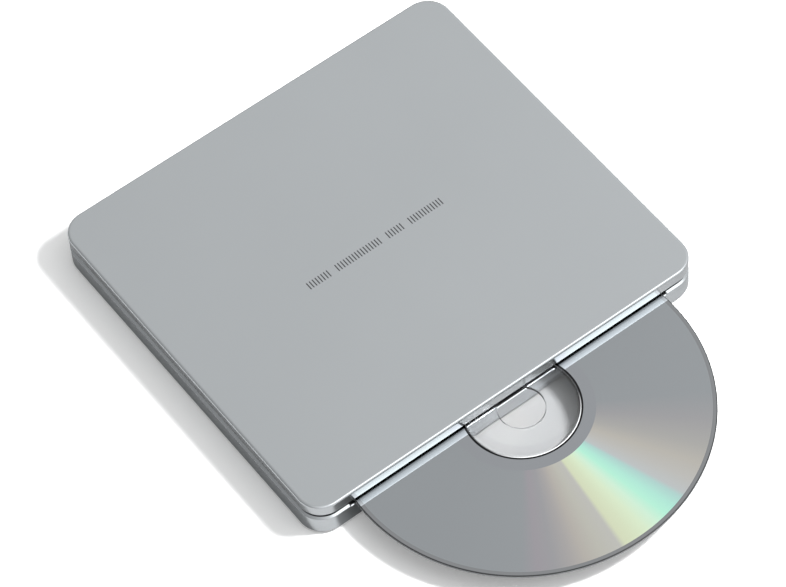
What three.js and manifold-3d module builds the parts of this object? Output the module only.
// Slim external slot-loading optical drive with a 120 mm disc half ejected.
// Millimetres, +Z up. Origin: centre of the case footprint on the desk plane.
// The slot is in the front face, at -Y. +X is to the right when facing the slot.
import * as THREE from "three";
import { mergeVertices } from "three/addons/utils/BufferGeometryUtils.js";
import Module from "manifold-3d";

const wasm = await Module();
wasm.setup();

// ---- driving dimensions -------------------------------------------------
// Names ending in _X, _Y and _Z are places, _R radii and _T thicknesses.
const CASE_W = 149.5; // case width
const CASE_D = 138.1; // case depth
const CASE_H = 15.0; // desk to lid face
const CORNER_R = 8.5; // plan radius of the case corners
const WALL = 1.0; // wall of lid and tub
const LID_INNER_Z = CASE_H - WALL; // underside of the lid's plate
const TUB_FLOOR = 0.8; // underside of the tub
const SCREW_X = 68.0; // case screws, at (+-SCREW_X, +-SCREW_Y)
const SCREW_Y = 59.6;

const DISC_R = 60.0;
const DISC_HOLE_R = 7.5;
const DISC_Z = 8.2; // underside of the disc
const DISC_T = 1.2;
const DISC_REST_Y = -74.1; // disc centre when ejected; loaded centre is y = 0

const SLOT_HALF = 61.5; // half length of the slot
const SLOT_Z0 = 7.9;
const SLOT_Z1 = 10.3;

const SOCKET_X = -52.0; // centre line of the rear socket and its board

const PAN_X = 63.2; // half width of the pan
const PAN_FRONT_Y = -65.5;
const PAN_REAR_Y = 65.0;
const PAN_Z = 3.0;
const PAN_T = 0.6;
const BOARD_Z = 4.4; // underside of the main board
const BOARD_TOP = 5.2;

const ARM_PIVOT_X = 59.0; // eject arm pivots at (+-ARM_PIVOT_X, ARM_PIVOT_Y)
const ARM_PIVOT_Y = 19.0;

const WHEEL_X = 46.55; // axis of worm wheel and pinion
const WHEEL_Y = 41.0;

const GUIDE_X = 27.2; // guide posts of the floating traverse
const GUIDE_Y = 13.4;

const CAM_TRAVEL = 14.0; // stroke of the cam slider
const LIFT = 1.7; // rise of the traverse when a disc is clamped
const SLIDER_Z = 3.9; // underside of the cam slider
const PIN_Y = 0; // cam pin at rest, low end of the slider's slot
const PIN_Z = SLIDER_Z + 1.17;

// Places are rows of [x, y, name]
const SIDES = [[-1, "left"], [1, "right"]];
const bothSides = (make) => SIDES.map(([side]) => make(side));
const pairAt = (x, y) => SIDES.map(([side, name]) => [side * x, y, name]);
const cornersAt = (x, y) => [
  ...pairAt(x, -y).map(([px, py, name]) => [px, py, `front_${name}`]),
  ...pairAt(x, y).map(([px, py, name]) => [px, py, `rear_${name}`]),
];
const FEET = cornersAt(67.0, 59.0);
const CASE_SCREWS = cornersAt(SCREW_X, SCREW_Y);
const ARM_PIVOTS = pairAt(ARM_PIVOT_X, ARM_PIVOT_Y);
const GUIDE_POSTS = pairAt(GUIDE_X, GUIDE_Y);
// screws that hold the drive's pan on the tub's posts
const PAN_SCREWS = [
  [-57.5, -56, "front_left"],
  [57.5, -56, "front_right"],
  [-30, 58, "rear_left"],
  [30, 58, "rear_right"],
];
const BOARD_SCREWS = [
  [-42, 24.5, "1"],
  [24, 43.5, "2"],
];

// ---- finishes -----------------------------------------------------------
const ALUMINIUM = { color: 0xaeb2b5, roughness: 0.38, metalness: 0.85 };
const TUB_METAL = { color: 0xb4b7b9, roughness: 0.42, metalness: 0.6 };
const BLACK_PLASTIC = { color: 0x161616, roughness: 0.6 };
const FELT = { color: 0x1b1b1c, roughness: 1.0 };
const RUBBER = { color: 0x2a2a2a, roughness: 0.9 };
const STEEL = { color: 0xb9bcbe, roughness: 0.35, metalness: 0.9 };
const DARK_STEEL = { color: 0x6d7073, roughness: 0.4, metalness: 0.9 };
const BRASS = { color: 0xc2a15a, roughness: 0.35, metalness: 0.9 };
const CIRCUIT_BOARD = { color: 0x1d5a38, roughness: 0.5 };
const CHIP = { color: 0x1a1a1c, roughness: 0.5 };
const WHITE_POM = { color: 0xe9e7df, roughness: 0.5 };
const BLACK_POM = { color: 0x232325, roughness: 0.5 };
const DISC_MIRROR = { color: 0xc9ccd0, roughness: 0.08, metalness: 0.9 };
const LENS = { color: 0x9db7d6, roughness: 0.05 };
const FLEX = { color: 0xb8772e, roughness: 0.45 };

// ---- solid operations ---------------------------------------------------
const solid = (source) => {
  let geometry = source.clone();
  for (const key of Object.keys(geometry.attributes))
    if (key !== "position") geometry.deleteAttribute(key);
  geometry = mergeVertices(geometry, 1e-5);
  return new wasm.Manifold(
    new wasm.Mesh({
      numProp: 3,
      vertProperties: new Float32Array(geometry.attributes.position.array),
      triVerts: new Uint32Array(geometry.index.array),
    })
  );
};
const geometryOf = (manifold) => {
  const { vertProperties, numProp, triVerts } = manifold.getMesh();
  const count = vertProperties.length / numProp;
  const positions = new Float32Array(count * 3);
  for (let i = 0; i < count; i++)
    for (let k = 0; k < 3; k++) positions[3 * i + k] = vertProperties[i * numProp + k];
  const geometry = new THREE.BufferGeometry();
  geometry.setAttribute("position", new THREE.BufferAttribute(positions, 3));
  geometry.setIndex(new THREE.BufferAttribute(new Uint32Array(triVerts), 1));
  const flat = geometry.toNonIndexed();
  flat.computeVertexNormals();
  return flat;
};
const cut = (body, ...tools) =>
  geometryOf(tools.reduce((rest, tool) => rest.subtract(solid(tool)), solid(body)));
const join = (body, ...more) =>
  geometryOf(more.reduce((sum, part) => sum.add(solid(part)), solid(body)));
const meet = (one, other) => geometryOf(solid(one).intersect(solid(other)));

// ---- basic shapes -------------------------------------------------------
const box = (left, right, front, rear, bottom, top) =>
  new THREE.BoxGeometry(right - left, rear - front, top - bottom).translate(
    (left + right) / 2,
    (front + rear) / 2,
    (bottom + top) / 2
  );
// box centred on x, given its half width
const boxAt = (x, half, front, rear, bottom, top) =>
  box(x - half, x + half, front, rear, bottom, top);
// cylinder standing along Z
const post = (x, y, bottom, top, radius, segments) =>
  new THREE.CylinderGeometry(radius, radius, top - bottom, segments)
    .rotateX(Math.PI / 2)
    .translate(x, y, (bottom + top) / 2);
const postsAt = (places, bottom, top, radius, segments) =>
  places.map(([x, y]) => post(x, y, bottom, top, radius, segments));
// cylinder lying along Y
const rodY = (x, z, front, rear, radius, segments) =>
  new THREE.CylinderGeometry(radius, radius, rear - front, segments).translate(
    x,
    (front + rear) / 2,
    z
  );
// cylinder lying along X
const rodX = (y, z, left, right, radius, segments) =>
  new THREE.CylinderGeometry(radius, radius, right - left, segments)
    .rotateZ(Math.PI / 2)
    .translate((left + right) / 2, y, z);

const vectors = (points) => points.map(([x, y]) => new THREE.Vector2(x, y));
// turned body: [radius, z] pairs, either from axis to axis or closed on itself
const turned = (x, y, profile, segments) =>
  new THREE.LatheGeometry(vectors(profile), segments).rotateX(Math.PI / 2).translate(x, y, 0);
// ring standing along Z
const ring = (x, y, bottom, top, inner, outer, segments) =>
  turned(
    x,
    y,
    [
      [inner, bottom],
      [outer, bottom],
      [outer, top],
      [inner, top],
      [inner, bottom],
    ],
    segments
  );
const prism = (points, bottom, top) =>
  new THREE.ExtrudeGeometry(new THREE.Shape(vectors(points)), {
    depth: top - bottom,
    bevelEnabled: false,
  }).translate(0, 0, bottom);

const CORNER_SEGMENTS = 6;
const roundRect = (width, depth, radius) => {
  const shape = new THREE.Shape();
  const x = width / 2;
  const y = depth / 2;
  shape.moveTo(-x + radius, -y);
  shape.lineTo(x - radius, -y);
  shape.absarc(x - radius, -y + radius, radius, -Math.PI / 2, 0, false);
  shape.lineTo(x, y - radius);
  shape.absarc(x - radius, y - radius, radius, 0, Math.PI / 2, false);
  shape.lineTo(-x + radius, y);
  shape.absarc(-x + radius, y - radius, radius, Math.PI / 2, Math.PI, false);
  shape.lineTo(-x, -y + radius);
  shape.absarc(-x + radius, -y + radius, radius, Math.PI, 1.5 * Math.PI, false);
  return shape;
};
// slab with the case's plan, its sides moved in by inset
const caseSlab = (inset, bottom, top) =>
  new THREE.ExtrudeGeometry(
    roundRect(CASE_W - 2 * inset, CASE_D - 2 * inset, CORNER_R - inset),
    { depth: top - bottom, bevelEnabled: false, curveSegments: CORNER_SEGMENTS }
  ).translate(0, 0, bottom);
// the same slab with its horizontal edges rounded
const softCaseSlab = (inset, bottom, top, edge, bevelSegments) => {
  const total = inset + edge;
  return new THREE.ExtrudeGeometry(
    roundRect(CASE_W - 2 * total, CASE_D - 2 * total, CORNER_R - total),
    {
      depth: top - bottom - 2 * edge,
      bevelEnabled: true,
      bevelThickness: edge,
      bevelSize: edge,
      bevelSegments,
      curveSegments: CORNER_SEGMENTS,
    }
  ).translate(0, 0, bottom + edge);
};
// cutting tools for a cross recess in a screw head
const crossRecess = (reach, half, bottom, top) => [
  box(-reach, reach, -half, half, bottom, top),
  box(-half, half, -reach, reach, bottom, top),
];

// ---- assembly tree ------------------------------------------------------
const drive = new THREE.Group();
const caseGroup = new THREE.Group();
const mechGroup = new THREE.Group();
const loaderGroup = new THREE.Group();
const traverseGroup = new THREE.Group();
drive.add(caseGroup, mechGroup, loaderGroup, traverseGroup);

const put = (parent, name, geometry, finish, x = 0, y = 0, z = 0) => {
  const mesh = new THREE.Mesh(geometry, new THREE.MeshStandardMaterial(finish));
  mesh.name = name;
  mesh.position.set(x, y, z);
  parent.add(mesh);
};

// ---- case ---------------------------------------------------------------
// Cutting tools here and below reach past the faces they open.
const LID_EDGE = 0.8; // rounding of the lid's top edge
const LID_LOW = 10.4; // lower rim of the lid
const TUB_TOP = 9.2; // upper rim of the tub
const TUB_ROUND = 2.4; // rounding of the tub's lower edge
const RIM_CHAMFER = 0.45;
const LABEL_HALF = 46.0; // half width of the shallow label recess under the tub
const LABEL_FRONT_Y = -28.0;
const LABEL_REAR_Y = 30.0;
const LABEL_DEPTH = 0.15;
const FRAME_INSET = 1.3; // case face to frame face
const FRAME_WALL = 1.0;
const FOOT_R = 5.0;
const FOOT_CHAMFER = 0.35;

// lid: drawn aluminium cover with four screw bosses under its plate
const topCover = () => {
  const shell = cut(
    softCaseSlab(0, LID_LOW - 4, CASE_H, LID_EDGE, 2),
    box(-90, 90, -90, 90, LID_LOW - 9, LID_LOW),
    caseSlab(WALL, LID_LOW - 3, LID_INNER_Z)
  );
  return cut(
    join(shell, ...postsAt(CASE_SCREWS, 9.7, LID_INNER_Z + 0.3, 2.5, 16)),
    ...postsAt(CASE_SCREWS, 9, 13.4, 1.35, 12)
  );
};
put(caseGroup, "top_cover", topCover(), ALUMINIUM);

// tub: lower case with rounded lower edge and chamfered rim
const bottomCase = () => {
  const outside = meet(
    softCaseSlab(0, TUB_FLOOR, TUB_TOP + 6, TUB_ROUND, 3),
    softCaseSlab(0, TUB_FLOOR - 4, TUB_TOP, RIM_CHAMFER, 1)
  );
  const bossed = join(
    cut(outside, softCaseSlab(WALL, TUB_FLOOR + WALL, TUB_TOP + 8, 1.6, 1)),
    ...postsAt(CASE_SCREWS, TUB_FLOOR + 0.5, 9.4, 2.9, 16),
    ...postsAt(PAN_SCREWS, TUB_FLOOR + 0.5, PAN_Z, 2.8, 16)
  );
  return cut(
    bossed,
    boxAt(0, SLOT_HALF, -75, -64, SLOT_Z0, 12), // slot notch
    ...postsAt(CASE_SCREWS, 0, 2.5, 2.2, 16), // head recesses
    ...postsAt(CASE_SCREWS, 2, 12, 1.4, 12),
    ...postsAt(PAN_SCREWS, 1.25, 5, 1.2, 12),
    boxAt(SOCKET_X, 4.2, 60, 80, 5.0, 12), // socket window
    boxAt(0, LABEL_HALF, LABEL_FRONT_Y, LABEL_REAR_Y, TUB_FLOOR - 3, TUB_FLOOR + LABEL_DEPTH)
  );
};
put(caseGroup, "bottom_case", bottomCase(), TUB_METAL);

// black plastic frame that carries the slot lips and closes the shadow gap
const innerFrame = () =>
  cut(
    caseSlab(FRAME_INSET, 5.0, LID_INNER_Z),
    caseSlab(FRAME_INSET + FRAME_WALL, 4, 15),
    boxAt(0, SLOT_HALF, -75, -60, SLOT_Z0, SLOT_Z1),
    boxAt(SOCKET_X, 4.4, 60, 80, 4, 9.9)
  );
put(caseGroup, "inner_frame", innerFrame(), BLACK_PLASTIC);

// felt strips behind the slot
for (const [name, bottom, top] of [
  ["upper", 9.72, 12.0],
  ["lower", 5.6, 7.88],
])
  put(caseGroup, `slot_felt_${name}`, boxAt(0, 60.8, -66.75, -65.95, bottom, top), FELT);

const foot = () => {
  const profile = [
    [0, 0],
    [FOOT_R - FOOT_CHAMFER, 0],
    [FOOT_R, FOOT_CHAMFER],
    [FOOT_R, TUB_FLOOR],
    [0, TUB_FLOOR],
  ];
  return turned(0, 0, profile, 20);
};
for (const [x, y, name] of FEET) put(caseGroup, `foot_${name}`, foot(), RUBBER, x, y);

// case screw, head down
const caseScrew = () => {
  const profile = [
    [0, 1.1], [1.75, 1.1], [1.9, 1.3], [1.9, 2.2],
    [1.0, 2.2], [1.0, 13.0], [0, 13.0],
  ];
  return cut(turned(0, 0, profile, 12), ...crossRecess(1.2, 0.22, 0.8, 1.6));
};
for (const [x, y, name] of CASE_SCREWS)
  put(caseGroup, `case_screw_${name}`, caseScrew(), DARK_STEEL, x, y);

// bridge board and socket in the rear left corner
const BRIDGE_TOP = 4.7;
const bridgeBoard = () =>
  cut(
    boxAt(SOCKET_X, 10.5, 51.5, 66.4, BRIDGE_TOP - 0.8, BRIDGE_TOP),
    post(-60.4, 53.4, 3, 6, 1.1, 12)
  );
put(caseGroup, "bridge_board", bridgeBoard(), CIRCUIT_BOARD);

const SOCKET_HALF = 3.85;
const SOCKET_Z0 = 5.35;
const SOCKET_Z1 = 9.25;
const SOCKET_WALL = 0.4;
const usbSocket = () =>
  cut(
    boxAt(SOCKET_X, SOCKET_HALF, 59.6, 68.6, SOCKET_Z0, SOCKET_Z1),
    boxAt(
      SOCKET_X, SOCKET_HALF - SOCKET_WALL, 61.5, 70,
      SOCKET_Z0 + SOCKET_WALL, SOCKET_Z1 - SOCKET_WALL
    )
  );
put(caseGroup, "usb_socket", usbSocket(), STEEL);
const usbTongue = () =>
  join(
    boxAt(SOCKET_X, 3.1, 61.9, 62.9, 6.1, 8.5),
    boxAt(SOCKET_X, 2.3, 62.8, 68.0, 7.0, 7.7)
  );
put(caseGroup, "usb_tongue", usbTongue(), BLACK_POM);
put(caseGroup, "bridge_chip", box(-59.5, -57.0, 57.0, 61.0, BRIDGE_TOP, 5.7), CHIP);

// ---- drive shell --------------------------------------------------------
const COVER_X = 64.0; // half width of the cover
const COVER_Z = 12.2; // underside of its plate
const COVER_T = 0.5;
const POST_Z = PAN_Z + 0.2; // foot of the posts, sunk in the pan's floor
const BOSS_Z = PAN_Z + 0.3;

const drivePan = () => {
  const tray = cut(
    boxAt(0, PAN_X, PAN_FRONT_Y, PAN_REAR_Y, PAN_Z, 7.5),
    boxAt(0, PAN_X - PAN_T, PAN_FRONT_Y - 1, PAN_REAR_Y - PAN_T, PAN_Z + PAN_T, 9),
    boxAt(0, 31.5, -64.0, 18.5, 2, 5), // window for the traverse
    box(-70, -40.5, 50.6, 70, 2, 9) // corner left free for the bridge board
  );
  const fitted = join(
    tray,
    ...postsAt(ARM_PIVOTS, POST_Z, 11.7, 1.4, 16),
    post(WHEEL_X, WHEEL_Y, POST_Z, 7.9, 1.0, 16),
    ...postsAt(BOARD_SCREWS, BOSS_Z, BOARD_Z, 1.8, 12),
    // guide posts of the floating traverse, on tabs inside the window
    ...bothSides((side) => boxAt(side * 28.7, 3.5, 10.2, 17.2, 1.9, 2.3)),
    ...bothSides((side) => boxAt(side * 32, 0.6, 10.2, 17.2, 1.9, BOSS_Z)),
    ...postsAt(GUIDE_POSTS, 2.1, 6.4, 0.9, 12)
  );
  return cut(
    fitted,
    ...postsAt(PAN_SCREWS, 2, 5, 1.2, 12),
    ...postsAt(BOARD_SCREWS, 3.9, 6, 0.9, 10)
  );
};
put(mechGroup, "drive_pan", drivePan(), STEEL);

const driveCover = () => {
  const shell = cut(
    boxAt(0, COVER_X, PAN_FRONT_Y, 65.3, 5.2, COVER_Z + COVER_T),
    boxAt(0, COVER_X - COVER_T, PAN_FRONT_Y - 1, 65.6, 4, COVER_Z),
    box(-66, -38, 47, 70, 4, COVER_Z) // room for the bridge board and socket
  );
  return cut(
    join(shell, ring(0, 0, 11.2, COVER_Z + 0.2, 9.5, 12.5, 32)),
    ...bothSides((side) => boxAt(side * 40, 11, -56, -50, 11, 14)),
    ...postsAt(pairAt(30, 30), 11, 14, 3, 16)
  );
};
put(mechGroup, "drive_cover", driveCover(), STEEL);

// pan screw, head up
const panScrew = () => {
  const profile = [
    [0, 1.5], [0.9, 1.5], [0.9, 3.6], [1.9, 3.6],
    [1.9, 4.1], [1.6, 4.4], [0, 4.4],
  ];
  return cut(turned(0, 0, profile, 12), ...crossRecess(1.1, 0.2, 4.0, 5));
};
for (const [x, y, name] of PAN_SCREWS)
  put(mechGroup, `pan_screw_${name}`, panScrew(), DARK_STEEL, x, y);

// main board, held by screws at its front left and rear right corners
const mainBoard = () => {
  const margin = 3; // board edge to screw axis
  const [[left, front], [right, rear]] = BOARD_SCREWS;
  return cut(
    box(left - margin, right + margin, front - margin, rear + margin, BOARD_Z, BOARD_TOP),
    ...postsAt(BOARD_SCREWS, 4, 6, 1.1, 12)
  );
};
put(mechGroup, "main_board", mainBoard(), CIRCUIT_BOARD);
put(mechGroup, "drive_chip", box(-16, -4, 28, 40, BOARD_TOP, 6.3), CHIP);

const BOARD_SCREW_PROFILE = [
  [0, 4.0], [0.7, 4.0], [0.7, BOARD_TOP], [1.6, BOARD_TOP],
  [1.6, 5.6], [1.2, 5.9], [0, 5.9],
];
for (const [x, y, name] of BOARD_SCREWS)
  put(mechGroup, `board_screw_${name}`, turned(x, y, BOARD_SCREW_PROFILE, 12), DARK_STEEL);

// ribbon between the pickup side and the main board, just above the tub floor; [x, y]
const RIBBON_OUTLINE = [
  [-9, -36], [9, -36], [9, 12], [4, 19],
  [4, 20.6], [-14, 20.6], [-14, 19], [-9, 12],
];
put(mechGroup, "pickup_ribbon", prism(RIBBON_OUTLINE, 1.85, 2.05), FLEX);

// side guides that keep the disc in line just inside the slot; [x, y] of the right one
const GUIDE_OUTLINE = [
  [60.9, -64.5], [62.3, -64.5], [62.3, 8], [61.6, 10], [60.9, 8],
];
for (const [side, name] of SIDES) {
  const outline = GUIDE_OUTLINE.map(([x, y]) => [side * x, y]);
  put(mechGroup, `disc_guide_${name}`, prism(outline, 3.6, 11.9), BLACK_POM);
}

// ---- loading drive ------------------------------------------------------
const WORM_X = 54.0; // axis of motor and worm
const WORM_Z = 6.8;
const WHEEL_MODULE = 0.6;
const WHEEL_TEETH = 20;
const PINION_MODULE = 0.7;
const PINION_TEETH = 12;
// tooth form shared by gears and rack: heights in modules, half widths in pitches
const ADDENDUM = 0.72;
const DEDENDUM = 0.95;
const ROOT_HALF = 0.2;
const TIP_HALF = 0.11;

const loadingMotor = () =>
  join(
    rodY(WORM_X, WORM_Z, 46.6, 60.5, 3.1, 24),
    rodY(WORM_X, WORM_Z, 45.8, 47, 1.2, 16)
  );
put(loaderGroup, "loading_motor", loadingMotor(), DARK_STEEL);
const motorBracket = () =>
  cut(box(49.4, 58.6, 50.0, 57.5, 3.6, 11.0), rodY(WORM_X, WORM_Z, 40, 64, 3.4, 24));
put(loaderGroup, "motor_bracket", motorBracket(), BLACK_POM);

// worm: thread with a lead of one wheel tooth on a plain core
const WORM_PITCH = Math.PI * WHEEL_MODULE;
class Helix extends THREE.Curve {
  constructor(radius, pitch, turns) {
    super();
    Object.assign(this, { radius, pitch, turns });
  }
  getPoint(t, out = new THREE.Vector3()) {
    const angle = t * this.turns * 2 * Math.PI;
    return out.set(
      this.radius * Math.cos(angle),
      this.radius * Math.sin(angle),
      t * this.turns * this.pitch
    );
  }
}
const worm = () => {
  const threadR = 0.42; // radius of the hexagonal thread section
  const section = Array.from({ length: 6 }, (_, i) => {
    const angle = (2 * Math.PI * i) / 6;
    return [threadR * Math.cos(angle), threadR * Math.sin(angle)];
  });
  const thread = new THREE.ExtrudeGeometry(new THREE.Shape(vectors(section)), {
    steps: 40,
    bevelEnabled: false,
    extrudePath: new Helix(1.3, WORM_PITCH, 4.2),
  });
  return join(post(0, 0, -0.5, 8.4, 0.95, 16), thread).rotateX(-Math.PI / 2);
};
put(loaderGroup, "worm", worm(), BRASS, WORM_X, WHEEL_Y - 2 * WORM_PITCH, WORM_Z);

// spur gear outline with slim trapezoid teeth, first tooth centred on firstAngle
const gearPoints = (module, teeth, firstAngle) => {
  const pitch = Math.PI * module;
  const tipR = module * (teeth / 2 + ADDENDUM);
  const rootR = module * (teeth / 2 - DEDENDUM);
  const rootAngle = (ROOT_HALF * pitch) / rootR;
  const tipAngle = (TIP_HALF * pitch) / tipR;
  const points = [];
  for (let i = 0; i < teeth; i++) {
    const centre = firstAngle + (2 * Math.PI * i) / teeth;
    for (const [radius, offset] of [
      [rootR, -rootAngle],
      [tipR, -tipAngle],
      [tipR, tipAngle],
      [rootR, rootAngle],
    ])
      points.push([radius * Math.cos(centre + offset), radius * Math.sin(centre + offset)]);
  }
  return points;
};
// worm wheel with the pinion below it; one pinion tooth points at the rack, towards -X
const wormWheel = () =>
  cut(
    join(
      prism(gearPoints(WHEEL_MODULE, WHEEL_TEETH, 0), 6.2, 7.4),
      prism(gearPoints(PINION_MODULE, PINION_TEETH, Math.PI), 4.2, 6.3)
    ),
    post(0, 0, 3, 9, 1.3, 16)
  );
put(loaderGroup, "worm_wheel", wormWheel(), WHITE_POM, WHEEL_X, WHEEL_Y);

// cam slider: standing plate with a sloping slot, and a rack that the pinion drives
const SLIDER_LEFT_X = 33.5;
const SLIDER_FRONT_Y = -18.5;
const SLIDER_REAR_Y = 48.0;
const rackOutline = () => {
  const left = 34.6;
  const front = 22.5;
  const pitchX = WHEEL_X - (PINION_MODULE * PINION_TEETH) / 2;
  const pitch = Math.PI * PINION_MODULE;
  const root = pitchX - DEDENDUM * PINION_MODULE;
  const tip = pitchX + ADDENDUM * PINION_MODULE;
  const points = [[left, front], [root, front]];
  for (let k = -8; k <= 2; k++) {
    // gaps are centred on the pinion tooth that points at the rack
    const y = WHEEL_Y + (k + 0.5) * pitch;
    points.push(
      [root, y - ROOT_HALF * pitch],
      [tip, y - TIP_HALF * pitch],
      [tip, y + TIP_HALF * pitch],
      [root, y + ROOT_HALF * pitch]
    );
  }
  points.push([root, SLIDER_REAR_Y], [left, SLIDER_REAR_Y]);
  return points;
};
const camSlot = () => {
  const half = 0.78; // half height of the slot
  const highY = PIN_Y - CAM_TRAVEL;
  const highZ = PIN_Z + LIFT;
  const frontY = highY - 1.2;
  const rearY = PIN_Y + 1.6;
  const outline = [
    [rearY, PIN_Z - half],
    [frontY, highZ - half],
    [frontY, highZ + half],
    [highY, highZ + half],
    [PIN_Y, PIN_Z + half],
    [rearY, PIN_Z + half],
  ];
  // the outline is drawn in (Y, Z): turn it to stand across X
  const standing = new THREE.Matrix4().makeBasis(
    new THREE.Vector3(0, 1, 0),
    new THREE.Vector3(0, 0, 1),
    new THREE.Vector3(1, 0, 0)
  );
  return prism(outline, 32, 36).applyMatrix4(standing);
};
const camSlider = () =>
  cut(
    join(
      box(SLIDER_LEFT_X, 34.7, SLIDER_FRONT_Y, SLIDER_REAR_Y, SLIDER_Z, 7.9),
      prism(rackOutline(), 4.3, 5.9),
      box(SLIDER_LEFT_X, 40, SLIDER_FRONT_Y, -15.0, SLIDER_Z, 4.9)
    ),
    camSlot()
  );
put(loaderGroup, "cam_slider", camSlider(), WHITE_POM);

// eject arms: steel levers on the pan's posts, each with a plastic disc pad
const ARM_L = 55.0; // pivot to pad
const ARM_ANGLE = THREE.MathUtils.degToRad(-33.0); // at rest
const ARM_Z = 10.1;
const ARM_T = 0.8;
const PAD_PROFILE = [
  [0, 8.15], [2.1, 8.15], [2.4, 8.4], [2.4, 9.7],
  [2.8, 9.8], [2.8, ARM_Z], [0, ARM_Z],
];
// arm along +X from its pivot, with a pivot hole and a long slot
const armShape = () => {
  const shape = new THREE.Shape();
  shape.absarc(0, 0, 3.3, Math.PI * 0.3, Math.PI * 1.7, false);
  shape.lineTo(8, -2.2);
  shape.lineTo(ARM_L - 2, -2.0);
  shape.absarc(ARM_L, 0, 2.6, -Math.PI * 0.4, Math.PI * 0.4, false);
  shape.lineTo(8, 2.2);
  const hole = new THREE.Path();
  hole.absarc(0, 0, 1.7, 0, 2 * Math.PI, true);
  const slot = new THREE.Path();
  slot.moveTo(14, -0.9);
  slot.lineTo(14, 0.9);
  slot.lineTo(40, 0.9);
  slot.lineTo(40, -0.9);
  shape.holes.push(hole, slot);
  return shape;
};
const ejectArm = (side) => {
  const arm = new THREE.ExtrudeGeometry(armShape(), {
    depth: ARM_T,
    bevelEnabled: false,
    curveSegments: 8,
  });
  if (side < 0) return arm.rotateZ(ARM_ANGLE);
  // mirrored about the centre plane: the same outline turned over
  return arm.rotateX(Math.PI).translate(0, 0, ARM_T).rotateZ(Math.PI - ARM_ANGLE);
};
const armPad = (side) =>
  turned(-side * ARM_L * Math.cos(ARM_ANGLE), ARM_L * Math.sin(ARM_ANGLE), PAD_PROFILE, 20);
// snap ring that keeps the arm on its post
const armClip = (x, y) => {
  const bottom = ARM_Z + ARM_T + 0.15;
  return ring(x, y, bottom, bottom + 0.4, 1.75, 2.9, 16);
};
for (const [x, y, name] of ARM_PIVOTS) {
  const side = Math.sign(x);
  put(loaderGroup, `eject_arm_${name}`, ejectArm(side), STEEL, x, y, ARM_Z);
  put(loaderGroup, `arm_pad_${name}`, armPad(side), WHITE_POM, x, y);
  put(loaderGroup, `arm_clip_${name}`, armClip(x, y), DARK_STEEL);
}

// ---- disc ---------------------------------------------------------------
const opticalDisc = ring(0, 0, DISC_Z, DISC_Z + DISC_T, DISC_HOLE_R, DISC_R, 72);
put(drive, "optical_disc", opticalDisc, DISC_MIRROR, 0, DISC_REST_Y);

// ---- traverse: spindle and pickup --------------------------------------
const RAIL_X = 23.6;
const RAIL_Z = 4.95; // height of rails and lead screw
const RAIL_R = 0.8;
const RAIL_BORE_R = RAIL_R + 0.25;
const LEAD_X = 27.8;
const PLATE_FRONT_Y = -63.2;
const PLATE_TOP = 3.3;
const BLOCK_TOP = 6.3; // top of rail blocks and sled bearings
const TABLE_TOP = 6.1; // rim of the turntable
const SLED_TOP = 5.6;
const LENS_Y = -24.0;

const traverseFrame = () => {
  const frontBlock = (x) => boxAt(x, 1.6, PLATE_FRONT_Y, -61.4, 3.0, BLOCK_TOP);
  const rearBlock = (x) => boxAt(x, 1.6, -14.6, -12.6, 3.0, BLOCK_TOP);
  return cut(
    join(
      boxAt(0, 30.3, PLATE_FRONT_Y, 17.0, 2.55, PLATE_TOP),
      ...bothSides((side) => rearBlock(side * RAIL_X)),
      ...bothSides((side) => frontBlock(side * RAIL_X)),
      frontBlock(LEAD_X),
      // tab with the cam pin
      box(28.9, 30.1, PIN_Y - 2.6, PIN_Y + 2.6, 3.0, 6.0),
      rodX(PIN_Y, PIN_Z, 29.5, 35.6, 0.5, 12)
    ),
    boxAt(0, 20.6, -61.2, -15.2, 2, 4), // pickup window
    ...bothSides((side) => rodY(side * RAIL_X, RAIL_Z, -70, -10, RAIL_BORE_R, 16)),
    rodY(LEAD_X, RAIL_Z, -70, -50, 0.75, 12),
    ...postsAt(GUIDE_POSTS, 2, 5, 1.95, 16),
    post(0, 0, 2, 5, 2.6, 20)
  );
};
put(traverseGroup, "traverse_frame", traverseFrame(), DARK_STEEL);

// rubber grommet: neck in the frame's hole, flange on top, running on the guide post
const DAMPER_PROFILE = [
  [1.15, 2.75], [1.9, 2.75], [1.9, PLATE_TOP], [2.7, PLATE_TOP],
  [2.7, 4.1], [1.15, 4.1], [1.15, 2.75],
];
for (const [x, y, name] of GUIDE_POSTS)
  put(traverseGroup, `damper_${name}`, turned(x, y, DAMPER_PROFILE, 18), RUBBER);
for (const [side, name] of SIDES) {
  const rail = rodY(side * RAIL_X, RAIL_Z, -63.0, -12.8, RAIL_R, 14);
  put(traverseGroup, `pickup_rail_${name}`, rail, STEEL);
}

const spindleMotor = () =>
  cut(
    join(
      post(0, 0, PLATE_TOP, 3.6, 13.2, 40),
      post(0, 0, 3.5, 4.7, 8.5, 30),
      post(0, 0, 2.75, 3.5, 2.3, 20)
    ),
    post(0, 0, 3.05, 6, 1.3, 16)
  );
put(traverseGroup, "spindle_motor", spindleMotor(), DARK_STEEL);

// turntable: shaft, skirt over the motor, rim and centring hub
const TURNTABLE_PROFILE = [
  [0, 3.35], [1.0, 3.35], [1.0, 5.0], [9.2, 5.0],
  [9.2, 3.95], [13.0, 3.95], [13.0, TABLE_TOP], [7.2, TABLE_TOP],
  [7.2, 7.2], [6.6, 7.9], [2.4, 7.9], [2.2, 7.5], [0, 7.5],
];
put(traverseGroup, "turntable", turned(0, 0, TURNTABLE_PROFILE, 36), BLACK_POM);
put(traverseGroup, "turntable_mat", ring(0, 0, TABLE_TOP, 6.4, 9.6, 12.8, 36), RUBBER);

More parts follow.
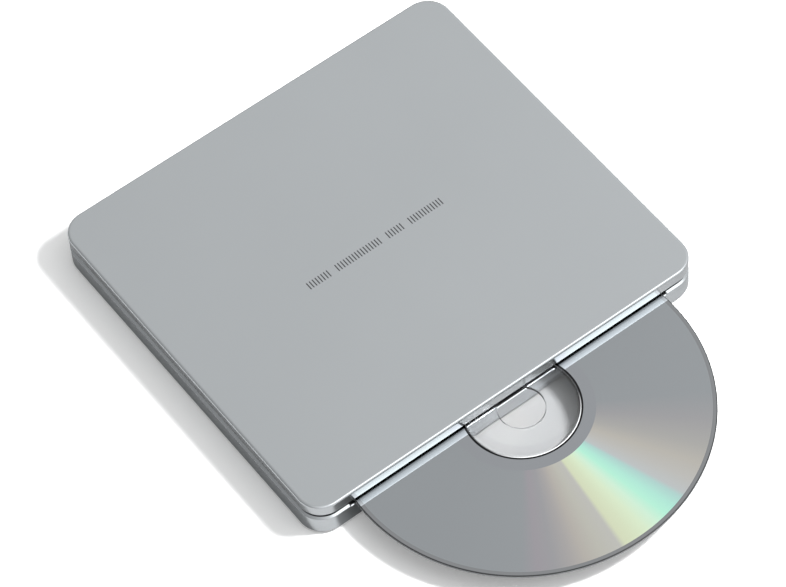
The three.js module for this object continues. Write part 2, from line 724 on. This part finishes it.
const sledMotor = () =>
  join(
    box(25.6, 30.0, -13.6, -3.6, PLATE_TOP, 6.4),
    rodY(LEAD_X, RAIL_Z, -14.4, -13.5, 1.1, 12)
  );
put(traverseGroup, "sled_motor", sledMotor(), DARK_STEEL);

// lead screw: shallow ring grooves stand for the thread
const leadScrew = () => {
  const outer = 0.85;
  const journal = 0.5;
  const profile = [[0, -62.9], [journal, -62.9], [journal, -61.0], [outer, -60.8]]; // [radius, y]
  for (let k = 0; k < 15; k++) {
    const y = -59.6 + k * 3.0;
    profile.push([outer, y], [0.6, y + 0.5], [outer, y + 1.0]);
  }
  profile.push([outer, -15.2], [journal, -15.0], [journal, -14.75], [0, -14.75]);
  return new THREE.LatheGeometry(vectors(profile), 8);
};
put(traverseGroup, "lead_screw", leadScrew(), BRASS, LEAD_X, 0, RAIL_Z);

// pickup sled with bearings on both rails and a follower beside the screw
const pickupSled = () =>
  cut(
    join(
      boxAt(0, 19.6, -28.8, -16.0, 3.0, SLED_TOP),
      box(-25.2, -19.0, -28.8, -17.2, 3.65, BLOCK_TOP),
      box(19.0, 25.2, -26.8, -19.2, 3.65, BLOCK_TOP),
      box(24.8, 26.5, -24.6, -21.4, 4.3, SLED_TOP)
    ),
    ...bothSides((side) => rodY(side * RAIL_X, RAIL_Z, -40, -10, RAIL_BORE_R, 16)),
    boxAt(0, 5.6, -28.0, -18.2, 4.1, 7)
  );
put(traverseGroup, "pickup_sled", pickupSled(), DARK_STEEL);
put(traverseGroup, "laser_unit", box(-18.5, -11.0, -26.5, -19.0, SLED_TOP, 6.2), BRASS);

const lensHolder = () =>
  cut(boxAt(0, 5.0, -27.4, -18.8, 4.6, SLED_TOP), post(0, LENS_Y, 4, 7, 2.3, 20));
put(traverseGroup, "lens_holder", lensHolder(), BLACK_POM);

const LENS_PROFILE = [
  [0, 4.75], [1.9, 4.75], [2.05, 5.0], [2.05, 5.35],
  [1.6, 5.65], [0.8, 5.85], [0, 5.9],
];
put(traverseGroup, "objective_lens", turned(0, LENS_Y, LENS_PROFILE, 20), LENS);

export default drive;
